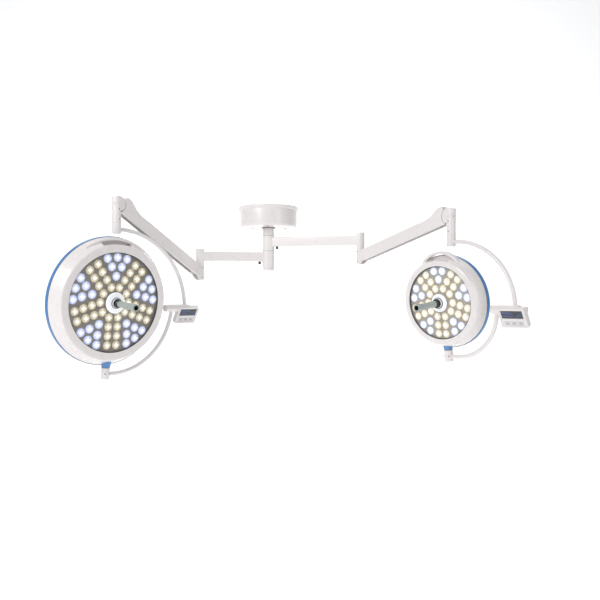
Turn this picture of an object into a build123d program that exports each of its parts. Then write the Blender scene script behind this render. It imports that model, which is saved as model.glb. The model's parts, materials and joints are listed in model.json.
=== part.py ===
"""Twin-head ceiling surgical light: a main lamp head on the lower extension arm and a smaller
satellite head on the upper one, each carried by a balanced spring arm and a quarter-circle yoke.

Millimetres, +Z up.  The origin is the centre of the ceiling plate's upper face, +X points to the
satellite lamp's side and +Y to the back of the room.
"""
import os
from dataclasses import dataclass
from math import asin, atan2, cos, degrees, hypot, radians, sin

from build123d import *

# ---------------------------------------------------------------- ceiling mount
PLATE_R = 150.0
PLATE_T = 12.0
PLATE_BOLT_PCD = 240.0
PLATE_BOLT_R = 6.5
PLATE_BOLTS = 6
CABLE_HOLE_R = 18.0
FLANGE_BOLTS = 4        # hold the column's flange under the plate
FLANGE_BOLT_R = 5.0
FLANGE_BOLT_PLACE_R = 60.0
SPACER_PLACE_R = 120.0  # spacers that carry the drum, between the ceiling bolts
CANOPY_FLANGE_R = 190.0
CANOPY_R = 179.0
CANOPY_BOTTOM_Z = -128.0
CANOPY_WALL = 3.0
CANOPY_EDGE_R = 16.0
COLUMN_FLANGE_R = 80.0
COLUMN_FLANGE_T = 10.0
COLUMN_R = 35.0
SET_SCREW_Z = -166.0
SET_SCREW_R = 4.0
COLLAR_BOTTOM_Z = -178.6
SPINDLE_R = 25.0
SPINDLE_BORE_R = 18.0
SPINDLE_BOTTOM_Z = -392.0

# ---------------------------------------------------------------- arms, shared by both lamps
RUN_FIT = 0.06          # radial clearance of a shaft that turns in a bore
GAP = 0.4               # gap between faces that turn past each other
HUB_R = 37.5
BEAM_W = 45.0
BEAM_H = 58.0
BEAM_WALL = 4.0
ELBOW_R = 25.0
ELBOW_SPINDLE_R = 16.0
ELBOW_SPINDLE_L = 80.0
PIVOT_BELOW_SEAM = 34.0
ARM_L = 715.0           # between the spring arm's two pivots
ARM_W = 50.0
ARM_H = 68.0
ARM_WALL = 4.0
SLOT_W = 34.0           # open slot along the arm's underside
BARREL_R = 44.0         # rounded knuckle body about a pitch pivot
TONGUE_HALF = 15.0      # half width of the arm's tongue inside a knuckle
TONGUE_R = 22.0
NECK_LOW = 14.0         # how far the tongue reaches below the arm's middle line
NECK_L = 62.0           # from the pivot to where the tongue meets the arm's body
PIN_R = 7.0
LINK_DROP = 28.0        # the parallel link's pivots lie this far under the main pivots
LINK_PIN_R = 4.0
LINK_W = 12.0
LINK_STRIP_W = 28.0     # wider middle of the link, which closes the arm's slot
LINK_H = 8.0
NECK_HIGH = 8.0
SPRING_START = 178.0    # the balance spring's two seats along the arm
SPRING_END = 518.0
SEAT_T = 8.0
SPRING_Z = 5.0
ROOF_REACH = 8.0        # the drop knuckle's roof ends here, so the arm can swing up
HOOD_RISE = 32.0        # the arm's top flares up beside the knuckle's cap
HOOD_END = 25.0         # hood's free end, short of the head pivot
HOOD_FLAT = 60.0
FLARE_L = 260.0
DROP_R = 24.5
DROP_BELOW_PIVOT = 161.0
SWIVEL_SLEEVE_L = 60.0
SWIVEL_SPINDLE_R = 15.0
SWIVEL_SPINDLE_L = 54.0
YOKE_EXIT_ABOVE = 24.0  # yoke tube axis above the swivel sleeve's end
YOKE_R = 11.0
YOKE_WALL = 2.5
HOUSING_Z = -628.0      # height of the tilt axis
HOUSING_R = 21.5
TILT_SPINDLE_R = 12.0
TILT_SPINDLE_L = 50.0
REST_TILT = 7.5         # degrees, face turned down at rest

# ---------------------------------------------------------------- control panel
PANEL_W = 144.0
PANEL_H = 106.0
PANEL_T = 26.0
PANEL_TILT = 30.0
PANEL_AHEAD = 28.0      # top edge of the face in front of the tilt axis
SCREEN_W = 116.0
SCREEN_H = 44.0
KEY_W = 26.0
KEY_H = 14.0
KEY_T = 4.0
KEY_PROUD = 1.4
KEY_TRAVEL = 0.8
KEY_PITCH = 36.0
KEY_NAMES = ("key_dim", "key_light", "key_bright")

# ---------------------------------------------------------------- lamp head, shared proportions
HEAD_ABOVE_AXIS = 38.0
RIM_BACK = -44.0        # face frame: Z points out of the lit face, 0 is the collar axis
RIM_FRONT = -17.0
RIM_LIP = 18.0          # width of the rim's flange behind the cover
FACE_Z = 52.0
DOME_Z = -70.0
SHELL_WALL = 3.0
GLASS_Z = 45.0
GLASS_T = 3.0
PANEL_Z = 38.0
LENS_R = 22.6
SLEEVE_R = 23.0
SEAT_MARGIN = 7.5       # collar seam below the rim
SLEEVE_L = 65.0
YOKE_IN_SLEEVE = 39.0
COLLAR_TOP_R = 31.0
GRIP_R = 18.5
GRIP_TIP_Z = 246.0
GRIP_START_Z = 76.0
RING_W = 0.115          # front ring's width as a share of the rim radius
BAR_DEPTH = 30.0
BAR_MIDDLE_Z = 7.0
BAR_THICK = 15.0
BAR_REACH = 0.48        # half span of the grab bar as a share of the rim radius
POCKET_REACH = 0.26
RIBS = 10


@dataclass
class Lamp:
    """One lamp with its arms, in the stored pose."""

    name: str
    elbow: tuple            # elbow axis, x and y
    hub_z: tuple            # bottom and top of the hub sleeve
    beam_z: float           # middle height of the extension arm
    sleeve_z: tuple         # bottom (seam) and top of the elbow sleeve
    arm_azimuth: float      # degrees, spring arm seen from above
    head_pivot_z: float     # height of the spring arm's upper pivot
    arm_top_limit: float    # degrees above the stored pitch
    yoke_azimuth: float
    upper_end: float        # along the yoke: where the upper tube meets the housing
    lower_start: float      # where the lower tube leaves the tilt sleeve
    sleeve_start: float     # inner end of the tilt sleeve
    sleeve_end: float
    housing_end: float
    panel_start: float
    head_offset: float      # collar axis along the yoke
    head_r: float
    disc_r: float
    bar_r: float            # outside of the grab bar
    boss_r: float
    warm_rows: tuple        # distances of the double rows' lenses from the middle
    warm_offset: float
    cool_spots: tuple       # across and along positions of one cool petal

    @property
    def pivot_z(self):
        return self.sleeve_z[0] - PIVOT_BELOW_SEAM

    @property
    def pitch(self):
        return degrees(asin((self.head_pivot_z - self.pivot_z) / ARM_L))

    @property
    def beam_l(self):
        return hypot(*self.elbow)

    @property
    def drop_axis(self):
        reach = ARM_L * cos(radians(self.pitch))
        turn = radians(self.arm_azimuth)
        return self.elbow[0] + reach * cos(turn), self.elbow[1] + reach * sin(turn)

    @property
    def swivel_bottom_z(self):
        return self.head_pivot_z - DROP_BELOW_PIVOT

    @property
    def seat_drop(self):
        """Distance of the collar's seam below the head's middle."""
        return self.head_r + SEAT_MARGIN

    @property
    def ring_r(self):
        return self.disc_r + RING_W * self.head_r

    @property
    def yoke_drop(self):
        """Radius of the lower yoke's quarter circle."""
        return self.seat_drop + YOKE_IN_SLEEVE - HEAD_ABOVE_AXIS

    # frames
    def beam_frame(self):
        return Rot(0, 0, degrees(atan2(self.elbow[1], self.elbow[0])))

    def elbow_frame(self):
        return Pos(*self.elbow, self.pivot_z) * Rot(0, 0, self.arm_azimuth)

    def arm_frame(self):
        return self.elbow_frame() * Rot(0, -self.pitch, 0)

    def drop_frame(self):
        return Pos(*self.drop_axis, self.head_pivot_z) * Rot(0, 0, self.arm_azimuth)

    def yoke_frame(self):
        return Pos(*self.drop_axis, HOUSING_Z) * Rot(0, 0, self.yoke_azimuth)

    def tilt_frame(self):
        return self.yoke_frame() * Rot(REST_TILT, 0, 0)

    def collar_frame(self):
        return self.tilt_frame() * Pos(self.head_offset, 0, HEAD_ABOVE_AXIS)

    def face_frame(self):
        return self.collar_frame() * Rot(90, 0, 0)

    def panel_frame(self):
        """Middle of the panel's top edge: X along the yoke, Y up the face, Z out of it."""
        middle = self.panel_start + PANEL_W / 2
        return self.yoke_frame() * Pos(middle, -PANEL_AHEAD, 2.0) * Rot(90 + PANEL_TILT, 0, 0)


MAIN = Lamp(
    name="main", elbow=(-416.0, -92.0), hub_z=(-381.0, -273.8), beam_z=-312.0,
    sleeve_z=(-381.0, -265.0), arm_azimuth=232.07, head_pivot_z=-60.0, arm_top_limit=0.5,
    yoke_azimuth=47.0, upper_end=458.0, lower_start=363.0, sleeve_start=318.0, sleeve_end=392.0,
    housing_end=486.0, panel_start=403.0, head_offset=-41.0, head_r=350.0, disc_r=270.0,
    bar_r=346.0, boss_r=57.0, warm_rows=(80.0, 130.0, 180.0, 230.0), warm_offset=27.5,
    cool_spots=((0, 142), (-29.5, 192), (29.5, 192), (-58.5, 235), (0, 243), (58.5, 235)))

SATELLITE = Lamp(
    name="satellite", elbow=(566.0, -129.0), hub_z=(-272.6, -180.0), beam_z=-218.0,
    sleeve_z=(-285.0, -170.0), arm_azimuth=-51.2, head_pivot_z=-136.0, arm_top_limit=8.0,
    yoke_azimuth=-47.0, upper_end=373.0, lower_start=270.0, sleeve_start=243.0, sleeve_end=287.0,
    housing_end=400.0, panel_start=289.0, head_offset=-37.5, head_r=250.0, disc_r=195.0,
    bar_r=271.0, boss_r=48.0, warm_rows=(74.0, 120.0, 166.0), warm_offset=23.6,
    cool_spots=((0, 124), (-26.5, 168), (26.5, 168)))

LAMPS = (MAIN, SATELLITE)


# ---------------------------------------------------------------- small helpers
def span_box(x, y, z):
    """A box from three (low, high) pairs."""
    size = [high - low for low, high in (x, y, z)]
    middle = [(high + low) / 2 for low, high in (x, y, z)]
    return Pos(*middle) * Box(*size)


def rod_z(radius, low, high, x=0.0, y=0.0):
    return Pos(x, y, (low + high) / 2) * Cylinder(radius, high - low)


def rod_x(radius, low, high, y=0.0, z=0.0):
    return Pos((low + high) / 2, y, z) * Rot(0, 90, 0) * Cylinder(radius, high - low)


def rod_y(radius, half, x=0.0, z=0.0):
    return Pos(x, 0, z) * Rot(90, 0, 0) * Cylinder(radius, 2 * half)


def tube_z(outer, inner, low, high):
    return rod_z(outer, low, high) - rod_z(inner, low - 1, high + 1)


def turned(*points):
    """A solid of revolution about Z from (radius, z) corners."""
    outline = Polyline(*[(r, 0, z) for r, z in points], close=True)
    return revolve(make_face(outline), Axis.Z)


def swept_tube(path, outer, inner):
    """A pipe along a path."""
    start = Plane(path @ 0, z_dir=path % 0)
    ring = start * (Circle(outer) - Circle(inner))
    return sweep(ring, path=path)


def one_solid(shape):
    """The single body of a boolean result."""
    return max(shape.solids(), key=lambda solid: solid.volume)


# ---------------------------------------------------------------- ceiling mount
def flange_bolt_places():
    return PolarLocations(FLANGE_BOLT_PLACE_R, FLANGE_BOLTS)


def spacer_places():
    return PolarLocations(SPACER_PLACE_R, 3, start_angle=30)


def ceiling_plate():
    plate = rod_z(PLATE_R, -PLATE_T, 0)
    for place in PolarLocations(PLATE_BOLT_PCD / 2, PLATE_BOLTS):
        plate -= place * rod_z(PLATE_BOLT_R, -PLATE_T - 1, 1)
    plate -= rod_z(CABLE_HOLE_R, -PLATE_T - 1, 1)
    for place in flange_bolt_places():
        plate -= place * rod_z(FLANGE_BOLT_R, -PLATE_T - 1, 1)
    return plate


def canopy():
    """Drum cover with a rolled top flange and a generous bottom edge radius."""
    outer = turned((0, -1), (CANOPY_FLANGE_R - 6, -1), (CANOPY_FLANGE_R, -6), (CANOPY_FLANGE_R, -15),
                   (CANOPY_FLANGE_R - 4, -20), (CANOPY_R, -24), (CANOPY_R, CANOPY_BOTTOM_Z),
                   (0, CANOPY_BOTTOM_Z))
    bottom = outer.edges().filter_by(GeomType.CIRCLE).group_by(Axis.Z)[0]
    outer = fillet(bottom, CANOPY_EDGE_R)
    inner_r = CANOPY_R - CANOPY_WALL
    inner = rod_z(inner_r, CANOPY_BOTTOM_Z + CANOPY_WALL, 0)
    inner = fillet(inner.edges().filter_by(GeomType.CIRCLE).group_by(Axis.Z)[0], CANOPY_EDGE_R - 3)
    shell = outer - inner - rod_z(COLUMN_R + 1.5, CANOPY_BOTTOM_Z - 1, 0)
    for place in spacer_places():
        shell -= place * rod_z(3.0, CANOPY_BOTTOM_Z - 1, -100)
    return shell


def canopy_screws():
    """Three pan-head screws that hold the drum to spacers under the plate."""
    screw = rod_z(2.9, CANOPY_BOTTOM_Z, -30) + rod_z(7, CANOPY_BOTTOM_Z - 4, CANOPY_BOTTOM_Z)
    spacer = tube_z(7, 3, CANOPY_BOTTOM_Z + CANOPY_WALL, -PLATE_T)
    pieces = (screw, spacer)
    return Compound([place * one_solid(piece) for place in spacer_places() for piece in pieces])


def column():
    """Flanged column: collar under the canopy, then the spindle that both hubs turn on."""
    flange_bottom = -PLATE_T - COLUMN_FLANGE_T
    body = turned((SPINDLE_BORE_R, -PLATE_T), (COLUMN_FLANGE_R, -PLATE_T),
                  (COLUMN_FLANGE_R, flange_bottom), (COLUMN_R, flange_bottom),
                  (COLUMN_R, COLLAR_BOTTOM_Z), (SPINDLE_R, COLLAR_BOTTOM_Z),
                  (SPINDLE_R, SPINDLE_BOTTOM_Z), (SPINDLE_BORE_R, SPINDLE_BOTTOM_Z))
    for place in flange_bolt_places():
        body -= place * rod_z(FLANGE_BOLT_R, flange_bottom - 1, 0)
    return body - rod_x(SET_SCREW_R, -60, 60, z=SET_SCREW_Z)


def column_bolts():
    """Four flange bolts and the two set screws of the collar."""
    under = -PLATE_T - COLUMN_FLANGE_T
    head = extrude(Pos(0, 0, under - 6.5) * RegularPolygon(9, 6), 6.5)
    bolt = rod_z(FLANGE_BOLT_R, under - 8, -2) + head
    bolts = [place * one_solid(bolt) for place in flange_bolt_places()]
    screw = rod_x(SET_SCREW_R, SPINDLE_R + 1, COLUMN_R + 1.5, z=SET_SCREW_Z)
    return Compound(bolts + [screw, Rot(0, 0, 180) * screw])


def column_cap():
    """Retaining nut and closing cap under the lower hub."""
    nut_top = SPINDLE_BOTTOM_Z + 10
    return turned((0, SPINDLE_BOTTOM_Z - 7), (26, SPINDLE_BOTTOM_Z - 7), (33, SPINDLE_BOTTOM_Z - 2),
                  (36, nut_top), (SPINDLE_R, nut_top), (SPINDLE_R, SPINDLE_BOTTOM_Z),
                  (0, SPINDLE_BOTTOM_Z))


def hub_bushes():
    """Thrust washers above, between and under the two hubs."""
    nut_top = SPINDLE_BOTTOM_Z + 10
    rooms = ((SATELLITE.hub_z[1], COLLAR_BOTTOM_Z), (MAIN.hub_z[1], SATELLITE.hub_z[0]),
             (nut_top, MAIN.hub_z[0]))
    washers = [tube_z(34, SPINDLE_R + 0.3, low + 0.15, high - 0.2) for low, high in rooms]
    return Compound([one_solid(washer) for washer in washers])


def power_supply():
    """Sealed driver box screwed to the plate beside the column."""
    box = span_box((-148, -95), (-42, 42), (-70, -PLATE_T))
    box = fillet(box.edges().filter_by(Axis.Z), 6)
    glands = rod_z(8, -80, -70, x=-122, y=-20) + rod_z(8, -80, -70, x=-122, y=20)
    return Rot(0, 0, 30) * (box + glands)


# ---------------------------------------------------------------- extension arm
def extension_arm(lamp):
    """Hub sleeve, hollow beam and elbow sleeve, welded into one piece."""
    half = BEAM_W / 2
    low, high = lamp.beam_z - BEAM_H / 2, lamp.beam_z + BEAM_H / 2
    beam = span_box((0, lamp.beam_l), (-half, half), (low, high))
    beam = fillet(beam.edges().filter_by(Axis.X), 5)
    hub = rod_z(HUB_R, *lamp.hub_z)
    elbow = rod_z(ELBOW_R, *lamp.sleeve_z, x=lamp.beam_l)
    elbow = fillet(elbow.edges().filter_by(GeomType.CIRCLE).group_by(Axis.Z)[-1], 3)
    body = hub + beam + elbow
    body -= span_box((HUB_R - 6, lamp.beam_l - ELBOW_R + 4), (-half + BEAM_WALL, half - BEAM_WALL),
                     (low + BEAM_WALL, high - BEAM_WALL))
    body -= rod_z(SPINDLE_R + RUN_FIT, lamp.hub_z[0] - 1, lamp.hub_z[1] + 1)
    seam = lamp.sleeve_z[0]
    body -= rod_z(ELBOW_SPINDLE_R + RUN_FIT, seam - 1, seam + ELBOW_SPINDLE_L + 2, x=lamp.beam_l)
    for side in (-40, 40):
        body -= Pos(lamp.beam_l, 0, lamp.beam_z) * Rot(0, 0, side) * rod_x(3.5, -30, -ELBOW_R + 5)
    body -= Pos(56, 0, low) * rod_z(5, -1, BEAM_WALL + 1)
    return lamp.beam_frame() * body


def brake_screws(lamp):
    """Brake adjusters: a socket screw under the beam's root and two in the elbow sleeve."""
    low = lamp.beam_z - BEAM_H / 2
    root = rod_z(5, low, low + BEAM_WALL, x=56) + rod_z(8, low - 16, low, x=56)
    socket = Pos(56, 0, low - 16) * extrude(RegularPolygon(4, 6), 8)
    screws = [one_solid(root - socket)]
    for side in (-40, 40):
        place = Pos(lamp.beam_l, 0, lamp.beam_z) * Rot(0, 0, side)
        screws.append(place * rod_x(3.5, -ELBOW_R - 0.4, -ELBOW_R + 5))
    return lamp.beam_frame() * Compound(screws)


# ---------------------------------------------------------------- spring arm and its knuckles
def knuckle_barrel(arm_side):
    """Rounded body about the pitch pivot: a half barrel on the arm's side, a round post behind."""
    half = ARM_W / 2
    body = rod_y(BARREL_R, half)
    body = fillet(body.edges().filter_by(GeomType.CIRCLE), 4)
    reach = (0, 60) if arm_side > 0 else (-60, 0)
    return body & (rod_z(half, -60, 60) + span_box(reach, (-half, half), (-60, 60)))


def tongue_room(arm_side, low, roof_reach):
    """Slot for the arm's tongue, open towards the arm and roofed over near the pivot."""
    room = TONGUE_HALF + GAP
    roofed, opened = (0, roof_reach), (roof_reach, 60)
    if arm_side < 0:
        roofed, opened = (-roof_reach, 0), (-60, -roof_reach)
    slot = rod_y(TONGUE_R + 1.5, room)
    slot += span_box(roofed, (-room, room), (low, TONGUE_R + 2))
    return slot + span_box(opened, (-room, room), (low, 60))


def link_room():
    """Space for the parallel link's eye."""
    return rod_y(9.5, LINK_W / 2 + 1.2, z=-LINK_DROP)


def elbow_knuckle(lamp):
    """Fork under the elbow sleeve, with the spindle that turns in it."""
    seam = PIVOT_BELOW_SEAM - GAP
    body = knuckle_barrel(1) - span_box((-60, 60), (-60, 60), (seam, 70))
    body += rod_z(ELBOW_R, 0, seam)
    body -= tongue_room(1, -60, ELBOW_R)
    body += rod_z(ELBOW_SPINDLE_R, seam - 6, seam + ELBOW_SPINDLE_L)
    body -= link_room()
    body -= rod_y(PIN_R + RUN_FIT, 40)
    body -= rod_y(LINK_PIN_R + RUN_FIT, 40, z=-LINK_DROP)
    return lamp.elbow_frame() * one_solid(body)


def arm_outline():
    """Side view of the spring arm, with the flare and hood at its head end."""
    half = ARM_H / 2
    top = half + HOOD_RISE
    end = ARM_L - HOOD_END
    crest = ARM_L - HOOD_FLAT
    outline = Polyline((20, half), (20, -half), (end, -half), (end, top - 12))
    outline += Polyline((end, top - 12), (end - 4, top - 3), (end - 13, top), (crest, top))
    outline += Spline((crest, top), (crest - 50, half + 10), (ARM_L - FLARE_L, half),
                      tangents=((-1, -0.3), (-1, 0)))
    outline += Line((ARM_L - FLARE_L, half), (20, half))
    return Plane.XZ * make_face(outline)


def arm_tongue():
    """Forked tongue that reaches into a knuckle; the link runs between its two plates."""
    tongue = rod_y(TONGUE_R, TONGUE_HALF)
    tongue += span_box((0, NECK_L), (-TONGUE_HALF, TONGUE_HALF), (-NECK_LOW, NECK_HIGH))
    return tongue


def link_channel():
    """Way for the parallel link through a tongue and its bulkhead."""
    half = LINK_W / 2 + 1
    return span_box((-60, NECK_L + 6), (-half, half), (-60, -10)) - rod_y(13, half + 1)


def spring_arm_shell(lamp):
    """Hollow arm, open along its underside, with a tongue at each end."""
    half = ARM_W / 2
    body = extrude(arm_outline(), half, both=True)
    long_edges = [edge for edge in body.edges()
                  if abs(abs(edge.center().Y) - half) < 0.1 and edge.center().Z > half]
    body = fillet(long_edges, 6)
    body -= span_box((NECK_L, ARM_L - NECK_L), (-half + ARM_WALL, half - ARM_WALL),
                     (-ARM_H / 2 + ARM_WALL, ARM_H / 2 - ARM_WALL))
    body -= span_box((-60, ARM_L + 60), (-SLOT_W / 2, SLOT_W / 2), (-60, ARM_WALL + 1 - ARM_H / 2))
    for end in (0, ARM_L):
        body -= rod_y(BARREL_R + 1.5, 40, x=end)
    top_pitch = lamp.pitch + lamp.arm_top_limit
    upright = Rot(0, top_pitch, 0)
    body -= upright * rod_z(ELBOW_R + 1.2, PIVOT_BELOW_SEAM - 1.6, 200)
    body -= Pos(ARM_L, 0, 0) * upright * rod_z(ELBOW_R + 1.2, -200, -BARREL_R + 10)
    body += arm_tongue()
    body += Pos(ARM_L, 0, 0) * mirror(arm_tongue(), Plane.YZ)
    body -= link_channel()
    body -= Pos(ARM_L, 0, 0) * mirror(link_channel(), Plane.YZ)
    for end in (0, ARM_L):
        body -= rod_y(PIN_R, 40, x=end)
    return lamp.arm_frame() * one_solid(body)


def balance_spring(lamp):
    """Compression spring on the arm's middle line."""
    wire, coil_r, pitch, turns = 3.0, 13.0, 20.0, 16
    path = Helix(pitch=pitch, height=pitch * turns, radius=coil_r)
    coil = sweep(Plane(path @ 0, z_dir=path % 0) * Circle(wire), path=path)
    start = SPRING_START + SEAT_T + wire
    return lamp.arm_frame() * Pos(start, 0, SPRING_Z) * Rot(0, 90, 0) * coil


def spring_seats(lamp):
    """Guide rod and seats of the spring, and the two pitch pins."""
    half = ARM_W / 2 - ARM_WALL
    rod = rod_x(6, SPRING_START - 30, SPRING_END + 42, z=SPRING_Z)
    for start in (SPRING_START, SPRING_END):
        rod += span_box((start, start + SEAT_T), (-half, half), (-11, ARM_H / 2 - ARM_WALL))
    pins = [rod_y(PIN_R, ARM_W / 2 + 1, x=end) for end in (0, ARM_L)]
    return lamp.arm_frame() * Compound([one_solid(rod)] + [one_solid(pin) for pin in pins])


def parallel_link(lamp):
    """Levelling bar along the arm's underside slot, with its two cross pins."""
    half = LINK_W / 2
    bar = rod_y(8, half) + rod_y(8, half, x=ARM_L)
    bar += span_box((0, ARM_L), (-half, half), (-LINK_H / 2, LINK_H / 2))
    strip = LINK_STRIP_W / 2
    bar += span_box((92, ARM_L - 92), (-strip, strip), (-LINK_H / 2, -LINK_H / 2 + 3))
    for end in (0, ARM_L):
        bar -= rod_y(LINK_PIN_R, 20, x=end)
    pins = [rod_y(LINK_PIN_R, ARM_W / 2 - 2, x=end) for end in (0, ARM_L)]
    place = lamp.elbow_frame() * Pos(0, 0, -LINK_DROP) * Rot(0, -lamp.pitch, 0)
    return place * Compound([one_solid(bar)] + [one_solid(pin) for pin in pins])


def drop_knuckle(lamp):
    """Rounded fork cap and the upright tube that stays vertical."""
    shoulder = -BARREL_R + 8
    seam = SWIVEL_SLEEVE_L - DROP_BELOW_PIVOT + GAP
    body = knuckle_barrel(-1) - span_box((-60, 60), (-60, 60), (-70, shoulder))
    body += rod_z(DROP_R, seam, 0)
    body -= tongue_room(-1, shoulder, ROOF_REACH)
    half = LINK_W / 2 + 1.2
    rooms = [rod_z(SWIVEL_SPINDLE_R + RUN_FIT, seam - 1, seam + SWIVEL_SPINDLE_L + 2),
             span_box((-60, 0), (-half, half), (-56, -18)), link_room(),
             rod_y(PIN_R + RUN_FIT, 40), rod_y(LINK_PIN_R + 0.5, 40, z=-LINK_DROP)]
    rooms += [Pos(0, 0, seam + 18) * Rot(0, 0, 90 * side) * rod_x(3.5, DROP_R - 4, 60)
              for side in (-1, 1)]
    for room in rooms:
        body = one_solid(body - room)
    return lamp.drop_frame() * body


# ---------------------------------------------------------------- yoke
def quarter_path(centre_x, radius, end_x, sign):
    """Straight run at height sign * radius from end_x, then a quarter circle down or up to z = 0."""
    level = sign * radius
    bend = radius * sin(radians(45))
    run = Line((end_x, 0, level), (centre_x, 0, level))
    arc = ThreePointArc((centre_x, 0, level), (centre_x + bend, 0, sign * bend),
                        (centre_x + radius, 0, 0))
    return run + arc


def upper_path(lamp):
    radius = lamp.swivel_bottom_z - HOUSING_Z + YOKE_EXIT_ABOVE
    return quarter_path(lamp.upper_end - radius, radius, YOKE_R, 1)


def lower_path(lamp):
    radius = lamp.yoke_drop
    return quarter_path(lamp.lower_start - radius, radius, lamp.head_offset + SLEEVE_R - 4, -1)


def upper_yoke(lamp):
    """Swivel sleeve with its spindle, and the quarter-circle tube down to the tilt housing."""
    bottom = lamp.swivel_bottom_z - HOUSING_Z
    seam = bottom + SWIVEL_SLEEVE_L
    sleeve = rod_z(DROP_R, bottom, seam)
    sleeve = fillet(sleeve.edges().filter_by(GeomType.CIRCLE).group_by(Axis.Z)[0], 2)
    sleeve += rod_z(SWIVEL_SPINDLE_R, seam - 4, seam + SWIVEL_SPINDLE_L)
    tube = swept_tube(upper_path(lamp), YOKE_R, YOKE_R - YOKE_WALL)
    return lamp.yoke_frame() * one_solid(sleeve + tube)


def control_case(lamp):
    """Tilt housing at the yoke's outer end, with the control panel's case."""
    start = lamp.sleeve_end + GAP
    housing = rod_x(HOUSING_R, start, lamp.housing_end)
    housing = fillet(housing.edges().filter_by(GeomType.CIRCLE).group_by(Axis.X)[-1], 3)
    case = span_box((-PANEL_W / 2, PANEL_W / 2), (-PANEL_H, 0), (-PANEL_T, 3))
    case = fillet(case.edges().filter_by(Axis.Z), 7)
    case -= span_box((-PANEL_W / 2 + 7, PANEL_W / 2 - 7), (-PANEL_H + 8, -6), (0, 10))
    to_yoke = lamp.yoke_frame().inverse() * lamp.panel_frame()
    body = housing + to_yoke * case
    body -= rod_x(TILT_SPINDLE_R + RUN_FIT, start - 1, start + TILT_SPINDLE_L + 2)
    solid_tube = sweep(Plane(upper_path(lamp) @ 0, z_dir=(1, 0, 0)) * Circle(YOKE_R),
                       path=upper_path(lamp))
    body = lamp.yoke_frame() * (body - solid_tube)
    face = lamp.panel_frame()
    body -= face * screen_block()
    for index in range(len(KEY_NAMES)):
        body -= face * key_block(index, GAP, KEY_PROUD - KEY_T - KEY_TRAVEL - 0.6)
    return one_solid(body)


def screen_block():
    return span_box((-SCREEN_W / 2, SCREEN_W / 2), (-SCREEN_H - 10, -10), (-2.5, 0))


def key_block(index, grow, low):
    """One key of the lower row, or its pocket when grown."""
    x = (index - 1) * KEY_PITCH
    y = -PANEL_H + 24
    half_w, half_h = KEY_W / 2 + grow, KEY_H / 2 + grow
    return span_box((x - half_w, x + half_w), (y - half_h, y + half_h), (low, KEY_PROUD))


def control_screen(lamp):
    """Display glass in the upper half of the panel."""
    return lamp.panel_frame() * screen_block()


def control_key(lamp, index):
    """Push button with rounded corners."""
    key = key_block(index, 0, KEY_PROUD - KEY_T)
    return lamp.panel_frame() * fillet(key.edges().filter_by(Axis.Z), 2.5)


def lower_yoke(lamp):
    """Tilt sleeve and spindle, quarter-circle tube and the upright socket under the head."""
    sleeve = rod_x(HOUSING_R, lamp.sleeve_start, lamp.sleeve_end)
    sleeve = fillet(sleeve.edges().filter_by(GeomType.CIRCLE).group_by(Axis.X)[0], 3)
    sleeve += rod_x(TILT_SPINDLE_R, lamp.sleeve_end - 4, lamp.sleeve_end + TILT_SPINDLE_L)
    tube = swept_tube(lower_path(lamp), YOKE_R, YOKE_R - YOKE_WALL)
    top = HEAD_ABOVE_AXIS - lamp.seat_drop
    socket = rod_z(SLEEVE_R, top - SLEEVE_L, top, x=lamp.head_offset)
    socket = fillet(socket.edges().filter_by(GeomType.CIRCLE).group_by(Axis.Z)[0], 2.5)
    body = sleeve + tube + socket
    body -= rod_z(TILT_SPINDLE_R + RUN_FIT, top - 47, top + 1, x=lamp.head_offset)
    ring = Pos(lamp.head_offset, 0, 0) * tube_z(SLEEVE_R + 2, SLEEVE_R - 0.8, top - 18, top - 17)
    return lamp.tilt_frame() * one_solid(body - ring)


# ---------------------------------------------------------------- lamp head
def head_outline(lamp, inset):
    """Solid of the head's outside, or its hollow when inset by the wall."""
    rim = lamp.head_r - 3 - inset
    ring = lamp.ring_r - inset
    front = FACE_Z - inset
    body = turned((0, RIM_FRONT), (rim, RIM_FRONT), (ring + 10, front - 18), (ring, front), (0, front))
    if inset:
        return body
    return fillet(body.edges().filter_by(GeomType.CIRCLE).group_by(Axis.Z)[-1], 9)


def bar_arc(lamp):
    """Centre height and radius of the grab bar's middle line, which dives into the side wall."""
    crest = lamp.bar_r - BAR_THICK / 2
    wall = lamp.head_r - 20 + 0.05 * (lamp.head_r - 350)
    reach = BAR_REACH * lamp.head_r
    centre = (crest ** 2 - wall ** 2) / (2 * (crest - (wall ** 2 - reach ** 2) ** 0.5))
    return centre, crest - centre


def grab_bar(lamp):
    """Arched bar over the top of the head."""
    centre, radius = bar_arc(lamp)
    low = BAR_MIDDLE_Z - BAR_DEPTH / 2
    bar = tube_z(radius + BAR_THICK / 2, radius - BAR_THICK / 2, low, low + BAR_DEPTH)
    bar = fillet(bar.edges().filter_by(GeomType.CIRCLE), 5)
    reach = BAR_REACH * lamp.head_r + 6
    return (Pos(0, centre, 0) * bar) & span_box((-reach, reach), (centre, 400), (-60, 60))


def finger_pocket(lamp, grow):
    """Recess in the side wall under the grab bar; grown, it shapes the wall's inner side."""
    centre, radius = bar_arc(lamp)
    reach = POCKET_REACH * lamp.head_r + grow
    back = BAR_MIDDLE_Z - BAR_DEPTH / 2 - 2 - grow
    under = Pos(0, centre, 0) * rod_z(radius - BAR_THICK / 2 + 2 * grow, back, 80)
    if grow:
        under = rod_z(lamp.head_r + 30, back, 80)
    room = under - rod_z(lamp.ring_r + 1 - grow, back - 1, 81)
    return room & span_box((-reach, reach), (0, 400), (back, 80))


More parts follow.
